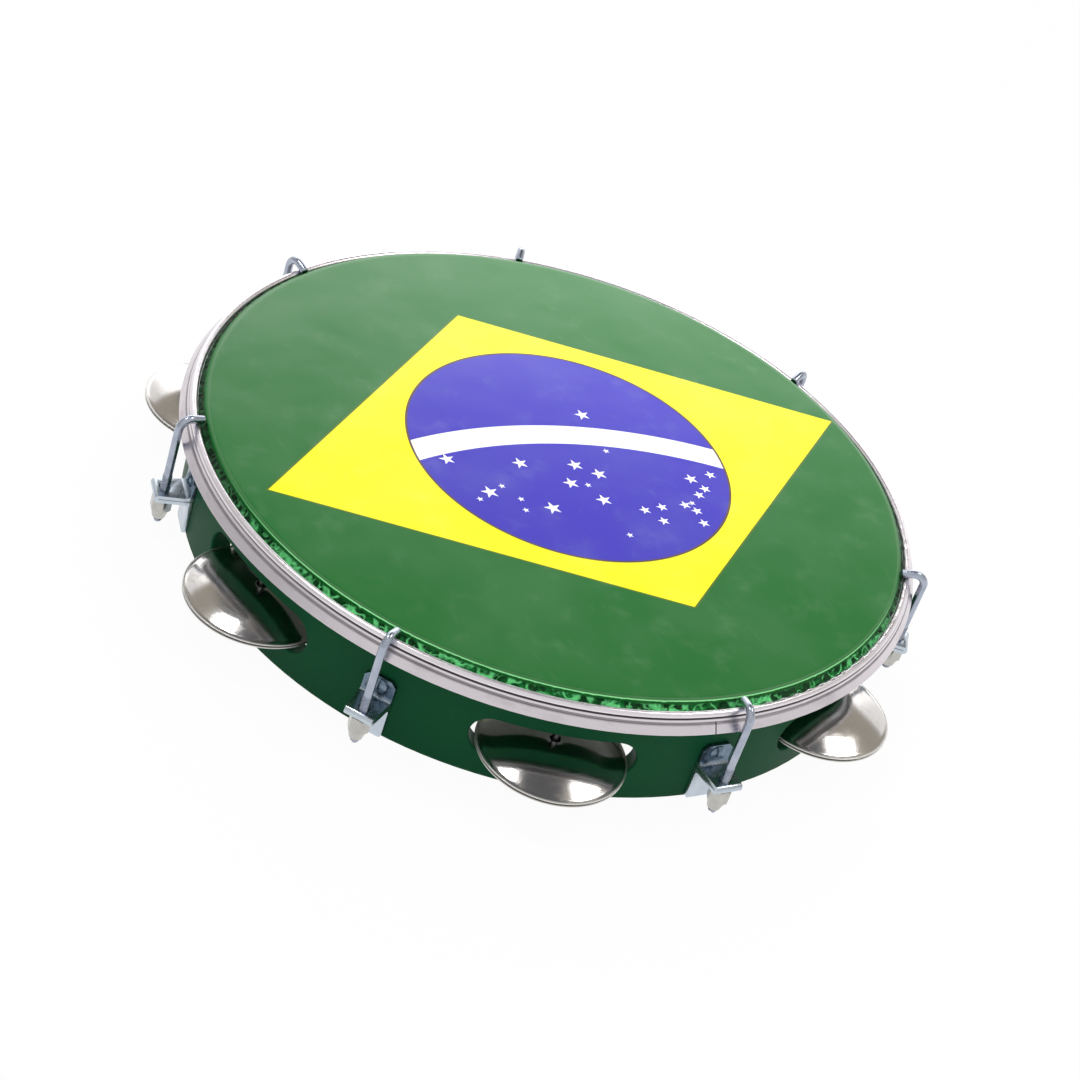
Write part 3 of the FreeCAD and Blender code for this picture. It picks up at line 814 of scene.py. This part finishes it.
# The shares are of one turn's pitch
thread = {
    "rootStep": 0.1,
    "footShares": (0.12, 0.88),
    "crestShares": (0.42, 0.58),
    "stepsPerTurn": 18,
    "fadeHeight": 1.6,
    "fadeTurns": 2.0,
    "fadeSlope": 0.42,
    "fadedRadius": 1.25,
}


def hookBar(name, armLength, bendHeight):
    # A bar up the rod's axis, spun inwards through the bend and drawn out along the arm
    radius = hookRod["radius"] * mm
    start = (hookRod["threadTop"] - hookRod["barOverlap"]) * mm
    bend = math.radians(90 + hookRod["slope"])
    bpy.ops.mesh.primitive_circle_add(
        vertices=hookRod["sides"], radius=radius, fill_type="NGON", location=(0, 0, start))
    piece = startShape(name)
    bpy.ops.mesh.extrude_region_move(TRANSFORM_OT_translate={"value": (0, 0, bendHeight - start)})
    bpy.ops.mesh.spin(
        steps=hookRod["bendSteps"], angle=bend,
        center=(-hookRod["bendRadius"] * mm, 0, bendHeight), axis=(0, 1, 0))
    slope = math.radians(hookRod["slope"])
    arm = Vector((-math.cos(slope), 0, -math.sin(slope))) * armLength
    bpy.ops.mesh.extrude_region_move(TRANSFORM_OT_translate={"value": arm})
    bpy.ops.mesh.bevel(offset=hookRod["tipRound"] * mm, segments=hookRod["tipSteps"], affect="EDGES")
    tidyShape()
    return endShape(piece)


def threadSleeve():
    # One turn of the thread's flank, wound up the rod and closed at both ends
    root = hookRod["threadRoot"]
    crest = hookRod["threadRadius"]
    pitch = hookRod["threadPitch"]
    foot = hookRod["threadFoot"]
    flankStart, flankEnd = thread["footShares"]
    crestStart, crestEnd = thread["crestShares"]
    low = root + thread["rootStep"]
    profile = [(root, 0), (low, flankStart), (crest, crestStart)]
    profile += [(crest, crestEnd), (low, flankEnd), (root, 1)]
    points = [Vector((radius, 0, foot + share * pitch)) * mm for radius, share in profile]
    piece = drawnChain("thread_sleeve", points)
    endShape(piece)
    turns = int((hookRod["threadTop"] - foot) / pitch) - 1
    steps = thread["stepsPerTurn"]
    finishedWith(piece, "SCREW", angle=2 * math.pi, screw_offset=pitch * mm, iterations=turns, steps=steps,
                 render_steps=steps, use_merge_vertices=True, merge_threshold=weldGap * mm)
    top = (hookRod["threadTop"] - thread["fadeHeight"]) * mm
    bottom = foot * mm + pitch * thread["fadeTurns"] * mm
    for vertex in piece.data.vertices:  # both ends run out into the bar
        across = math.hypot(vertex.co.x, vertex.co.y)
        runOut = max(vertex.co.z - top, bottom - vertex.co.z, 0)
        allowed = max(crest * mm - runOut * thread["fadeSlope"], thread["fadedRadius"] * mm)
        if across > allowed:
            vertex.co.x *= allowed / across
            vertex.co.y *= allowed / across
    only(piece)
    bpy.ops.object.mode_set(mode="EDIT")
    bpy.ops.mesh.select_all(action="SELECT")
    bpy.ops.mesh.remove_doubles(threshold=weldGap * mm)
    bpy.ops.mesh.fill_holes(sides=0)
    bpy.ops.mesh.normals_make_consistent(inside=False)
    return endShape(piece)


def joined(first, second):
    bpy.ops.object.select_all(action="DESELECT")
    second.select_set(True)
    first.select_set(True)
    bpy.context.view_layer.objects.active = first
    bpy.ops.object.join()
    return first


def tensionHooks(material):
    slope = math.radians(hookRod["slope"])
    reach = hookRod["beadRadius"] + hookRod["radius"] + hookRod["seatGap"]
    sleeve = threadSleeve()
    for k in stations:
        swing = math.radians(hookRod["swings"][k - 1])
        axisRadius = Vector(hookPlaces[k].xy).length / mm
        beadX = -(axisRadius - hookRod["beadCentre"][0]) / math.cos(swing)
        contactX = beadX - math.sin(slope) * reach
        contactZ = hookRod["beadCentre"][1] + math.cos(slope) * reach
        cornerZ = contactZ - contactX * math.tan(slope)
        runIn = hookRod["bendRadius"] * math.tan(math.radians(90 + hookRod["slope"]) / 2)
        armLength = -contactX / math.cos(slope) - runIn + hookRod["tipReach"]
        bar = hookBar(f"hook_rod_{k}", armLength * mm, (cornerZ - runIn) * mm)
        piece = joined(bar, copied(sleeve, f"hook_thread_{k}", Matrix.Identity(4)))
        piece.data.transform(atStation(hookPlaces[k], swing))
        smoothed(piece, hookRod["smoothAngle"])
        dressed(piece, material, "hoop", "zinc_plate", f"tension_hook_{k}")
    bpy.data.objects.remove(sleeve)
    print("tension hooks with rolled threads")


# Lugs and nuts, from the frame's own shapes with their edges broken

edgeBreak = {
    "lug": 0.22,
    "nut": 0.2,
    "segments": 3,
    "sharpAngle": 32,
    "smoothAngle": 28,
    "weldGap": 0.002,
    "flatAngle": 1.5,
}


def cleanCopy(node, name):
    piece = copied(frame["nodes"][node], name, Matrix.Identity(4))
    for key in list(piece.keys()):
        del piece[key]
    piece.parent = None
    only(piece)
    bpy.ops.mesh.customdata_custom_splitnormals_clear()
    bpy.ops.object.mode_set(mode="EDIT")
    tidyShape(edgeBreak["weldGap"])
    bpy.ops.mesh.dissolve_limited(angle_limit=math.radians(edgeBreak["flatAngle"]))
    bpy.ops.object.mode_set(mode="OBJECT")
    return piece


def withBrokenEdges(piece, width):
    finishedWith(piece, "BEVEL", width=width * mm, segments=edgeBreak["segments"], limit_method="ANGLE",
                 angle_limit=math.radians(edgeBreak["sharpAngle"]), use_clamp_overlap=True)
    return smoothed(piece, edgeBreak["smoothAngle"])


def lugsAndNuts(lugMaterial, nutMaterial):
    for k in stations:
        lug = withBrokenEdges(cleanCopy(f"tuning_lug_{k}", f"lug_plate_{k}"), edgeBreak["lug"])
        dressed(lug, lugMaterial, "drum", "zinc_plate", f"tuning_lug_{k}")
        nut = withBrokenEdges(cleanCopy(f"tuning_nut_{k}", f"hex_nut_{k}"), edgeBreak["nut"])
        dressed(nut, nutMaterial, f"nut_{k}", "zinc_plate", f"tuning_nut_{k}")
    print("lugs and nuts with broken edges")


# Jingles

jingle = {
    "radius": 30.5,
    "flange": 0.8,
    "sheet": 0.5,
    "height": 5.9,
    "crown": 5.0,
    "hole": 2.2,
    "plateRadius": 29.6,
    "flatStep": 0.35,
    "steps": 112,
    "domeRows": 16,
    "edgeSteps": 6,
    "smoothAngle": 50,
    "dentSize": 13,
    "dentDepth": 0.09,
    "dentSeedStep": 7.3,
    "dentRim": 1.2,
    "dentCrown": 4,
    "dentFade": 6,
    "turnStep": 2.1,
}


def domeLine(crownRadius, footRadius, rise, count):  # from the crown's edge down to the flange
    run = footRadius - crownRadius
    curve = (run ** 2 + rise ** 2) / (2 * rise)
    sweep = 2 * math.atan2(rise, run)
    turns = [sweep * k / count for k in range(count + 1)]
    return [(crownRadius + curve * math.sin(t), rise - curve * (1 - math.cos(t))) for t in turns]


def sheetEdge(radius, height, start, end):  # the sheet's rounded edge, between two angles
    return arcPoints((radius, height), jingle["sheet"] / 2, start, end, jingle["edgeSteps"])


def cupProfile():
    sheet = jingle["sheet"]
    foot = jingle["radius"] - jingle["flange"]
    rise = jingle["height"] - sheet
    under = domeLine(jingle["crown"], foot, rise, jingle["domeRows"])
    top = [(radius, height + sheet) for radius, height in under]
    rim = sheetEdge(jingle["radius"] - sheet / 2, sheet / 2, 90, -90)
    hole = sheetEdge(jingle["hole"] + sheet / 2, rise + sheet / 2, 270, 90)
    flat = foot + jingle["flatStep"]
    return hole + top + [(flat, sheet)] + rim + [(flat, 0)] + under[::-1] + hole[:1]


def plateProfile():
    sheet = jingle["sheet"]
    rim = sheetEdge(jingle["plateRadius"] - sheet / 2, sheet / 2, 90, -90)
    hole = sheetEdge(jingle["hole"] + sheet / 2, sheet / 2, 270, 90)
    middle = (jingle["hole"] + jingle["plateRadius"]) / 2
    return hole + [(middle, sheet)] + rim + [(middle, 0)] + hole[:1]


def ringMarked(piece):  # keeps how far each point is from the pin, and its share of the turn
    fromPin = piece.data.attributes.new("fromPin", "FLOAT", "POINT")
    turnShare = piece.data.attributes.new("turnShare", "FLOAT", "POINT")
    for vertex, reach, share in zip(piece.data.vertices, fromPin.data, turnShare.data):
        reach.value = math.hypot(vertex.co.x, vertex.co.y)
        share.value = abs(math.atan2(vertex.co.y, vertex.co.x))
    return piece


def dented(piece, seed):
    size = jingle["dentSize"] * mm
    for vertex in piece.data.vertices:
        across = math.hypot(vertex.co.x, vertex.co.y) / mm
        fromRim = jingle["radius"] - jingle["dentRim"] - across
        fromCrown = across - jingle["dentCrown"]
        hold = max(min(fromRim / jingle["dentFade"], fromCrown / jingle["dentFade"], 1), 0)
        place = Vector((vertex.co.x / size, vertex.co.y / size, seed * jingle["dentSeedStep"]))
        vertex.co.z += noise.noise(place) * jingle["dentDepth"] * hold * mm
    return piece


def jingles(material):
    cup = ringMarked(spunPiece("jingle_cup", cupProfile(), jingle["steps"]))
    plate = ringMarked(spunPiece("jingle_disc", plateProfile(), jingle["steps"]))
    upsideDown = Matrix.Rotation(math.pi, 4, "X")
    kinds = [("jingle_upper", "jingle_cup_top", "jingle_top", cup, Matrix.Identity(4)),
             ("jingle_plate", "jingle_disc", "jingle_mid", plate, Matrix.Identity(4)),
             ("jingle_lower", "jingle_cup_low", "jingle_low", cup, upsideDown)]
    for k in stations:  # each disc is turned its own way and has its own dents
        for node, name, body, model, turn in kinds:
            low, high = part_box(f"{node}_{k}")
            piece = dented(copied(model, f"{name}_{k}", Matrix.Identity(4)), k + len(name))
            rest = high.z if turn is upsideDown else low.z
            spin = Matrix.Rotation(k * jingle["turnStep"] + len(name), 4, "Z")
            place = Matrix.Translation((jinglePlaces[k].x, jinglePlaces[k].y, rest))
            piece.data.transform(place @ turn @ spin)
            smoothed(piece, jingle["smoothAngle"])
            dressed(piece, material, f"{body}_{k}", "jingle_steel", f"{node}_{k}")
    bpy.data.objects.remove(cup)
    bpy.data.objects.remove(plate)
    print("jingles: two cups and a plate at each pin")


# Finishes on the frame's own pieces

def finishNodes(names, material):
    for name in names:
        for slot in frame["nodes"][name].material_slots:
            slot.material = material


# Studio

studio = {
    "floorSize": 12.0,
    "floorTone": tone(248, 248, 250),
    "ownLight": 0.955,
    "horizon": tone(250, 250, 250),
    "overhead": tone(108, 109, 112),
    "sideTone": tone(190, 185, 173),
    "sideStart": 0.20,
    "sideFull": 0.36,
    "sideStrength": 0.32,
    "horizonTop": 0.50,
    "horizonEnd": 0.57,
    "worldStrength": 0.85,
    "backTurn": 54,
    "backStrength": 1.85,
    "glowFade": (0.1, 0.9),
    "cameraSide": (-0.3, 0.05),
    "glowWidth": 0.28,
    "glowEnd": 0.5,
    "leftShade": 0.34,
    "leftStart": 0.6,
    "leftFull": 0.85,
    "leftTilt": 0.22,
}

softboxes = {
    "softbox_left": {"azimuth": 125, "elevation": 71, "distance": 1.7, "size": 0.34, "power": 5.8},
    "softbox_right": {"azimuth": -17, "elevation": 58.5, "distance": 1.7, "size": 0.47, "power": 5.8},
    "back_fill": {"azimuth": 48, "elevation": 42, "distance": 0.43, "size": 0.3, "power": 0.98,
                  "mirrored": False},
}

camera = {
    "place": (-0.61092, -0.68553, 0.65969),
    "turn": (53.00486, -15.72612, -30.38850),
    "lens": 86.6667,
    "sensor": 36,
}


def floor():
    bpy.ops.object.select_all(action="DESELECT")
    bpy.ops.mesh.primitive_plane_add(size=studio["floorSize"], location=(0, 0, 0))
    piece = bpy.context.object
    piece.name = "studio_floor"
    material = bpy.data.materials.new("pale_floor")
    material.use_nodes = True
    tree = Tree(material.node_tree)
    tree.tree.nodes.clear()
    path = tree.node("ShaderNodeLightPath").socket.node.outputs
    seen = Num(tree, path["Is Camera Ray"]) + Num(tree, path["Is Glossy Ray"])
    seen = (seen + Num(tree, path["Is Transmission Ray"])).by("MINIMUM", 1)
    paint = tree.node("ShaderNodeBsdfDiffuse", {}, {"Color": studio["floorTone"]})
    own = tree.node("ShaderNodeEmission", {}, {"Color": (1, 1, 1, 1), "Strength": 1.0})
    shown = tree.node("ShaderNodeMixShader", {}, {0: seen * studio["ownLight"], 1: paint, 2: own})
    clear = tree.node("ShaderNodeBsdfTransparent")
    below = Num(tree, tree.node("ShaderNodeNewGeometry").socket.node.outputs["Backfacing"])
    both = tree.node("ShaderNodeMixShader", {}, {0: below, 1: shown, 2: clear})
    output = tree.tree.nodes.new("ShaderNodeOutputMaterial")
    tree.feed(output.inputs["Surface"], both)
    piece.data.materials.append(material)


def surroundings():
    world = bpy.data.worlds.new("studio")
    bpy.context.scene.world = world
    world.use_nodes = True
    tree = Tree(world.node_tree)
    tree.tree.nodes.clear()
    direction = tree.node("ShaderNodeTexCoord")
    x, y, height = tree.parts(direction)
    back = math.radians(studio["backTurn"])
    away = x * math.cos(back) + y * math.sin(back)
    leftward = y * math.cos(back) - x * math.sin(back)
    side = tree.eased(abs(leftward), studio["sideStart"], studio["sideFull"])
    facing = tree.eased(away, *studio["glowFade"])
    middle = 1 - tree.eased(abs(leftward), studio["glowWidth"], studio["glowEnd"])
    rise = tree.eased(height - leftward * studio["leftTilt"], studio["horizonTop"], studio["horizonEnd"])
    rise = rise * tree.eased(away, *studio["cameraSide"])  # the camera's side stays bright
    above = tree.mixed(side, studio["overhead"], studio["sideTone"])
    colour = tree.mixed(rise, studio["horizon"], above)
    glow = middle * studio["backStrength"] + (1 - middle) * studio["sideStrength"]
    strength = studio["worldStrength"] + facing * (1 - rise) * glow
    leftSide = tree.eased(leftward, studio["leftStart"], studio["leftFull"])
    strength = strength * (1 - leftSide * studio["leftShade"])
    shade = tree.node("ShaderNodeBackground", {}, {"Color": colour, "Strength": strength})
    output = tree.tree.nodes.new("ShaderNodeOutputWorld")
    tree.feed(output.inputs["Surface"], shade)


def softbox(name, azimuth, elevation, distance, size, power, mirrored=True):
    lamp = bpy.data.lights.new(name, "AREA")
    lamp.shape = "SQUARE"
    lamp.size = size
    lamp.energy = power
    piece = bpy.data.objects.new(name, lamp)
    bpy.context.collection.objects.link(piece)
    turn = math.radians(azimuth)
    lift = math.radians(elevation)
    place = Vector((math.cos(turn) * math.cos(lift), math.sin(turn) * math.cos(lift), math.sin(lift)))
    piece.location = place * distance
    piece.rotation_euler = place.to_track_quat("Z", "Y").to_euler()
    piece.visible_camera = False
    piece.visible_glossy = mirrored


def cameraView():
    data = bpy.data.cameras.new("camera")
    data.lens = camera["lens"]
    data.sensor_width = camera["sensor"]
    piece = bpy.data.objects.new("camera", data)
    bpy.context.collection.objects.link(piece)
    piece.location = camera["place"]
    piece.rotation_euler = [math.radians(angle) for angle in camera["turn"]]
    bpy.context.scene.camera = piece


cameraView()
floor()
surroundings()
for boxName, values in softboxes.items():
    softbox(boxName, **values)
bpy.context.scene.view_settings.view_transform = "Standard"
print("studio, camera and lights")

hookZinc = zincFinish("zinc_bright", **zincLook["hooks"])
lugZinc = zincFinish("zinc_lug", **zincLook["lugs"], plate=True)
nutZinc = zincFinish("zinc_nut", **zincLook["nuts"])
headFilm()
tensionHooks(hookZinc)
lugsAndNuts(lugZinc, nutZinc)
jingles(jingleFinish())
finishNodes(["shell"], shellFinish())
finishNodes(["counter_hoop"], hoopFinish())
finishNodes(["flesh_hoop"], channelFinish())
finishNodes(["lug_bolts", "lug_washers", "lug_nuts"], lugZinc)
finishNodes([f"jingle_pin_{k}" for k in stations], pinFinish())
print("finishes on the frame's own pieces")
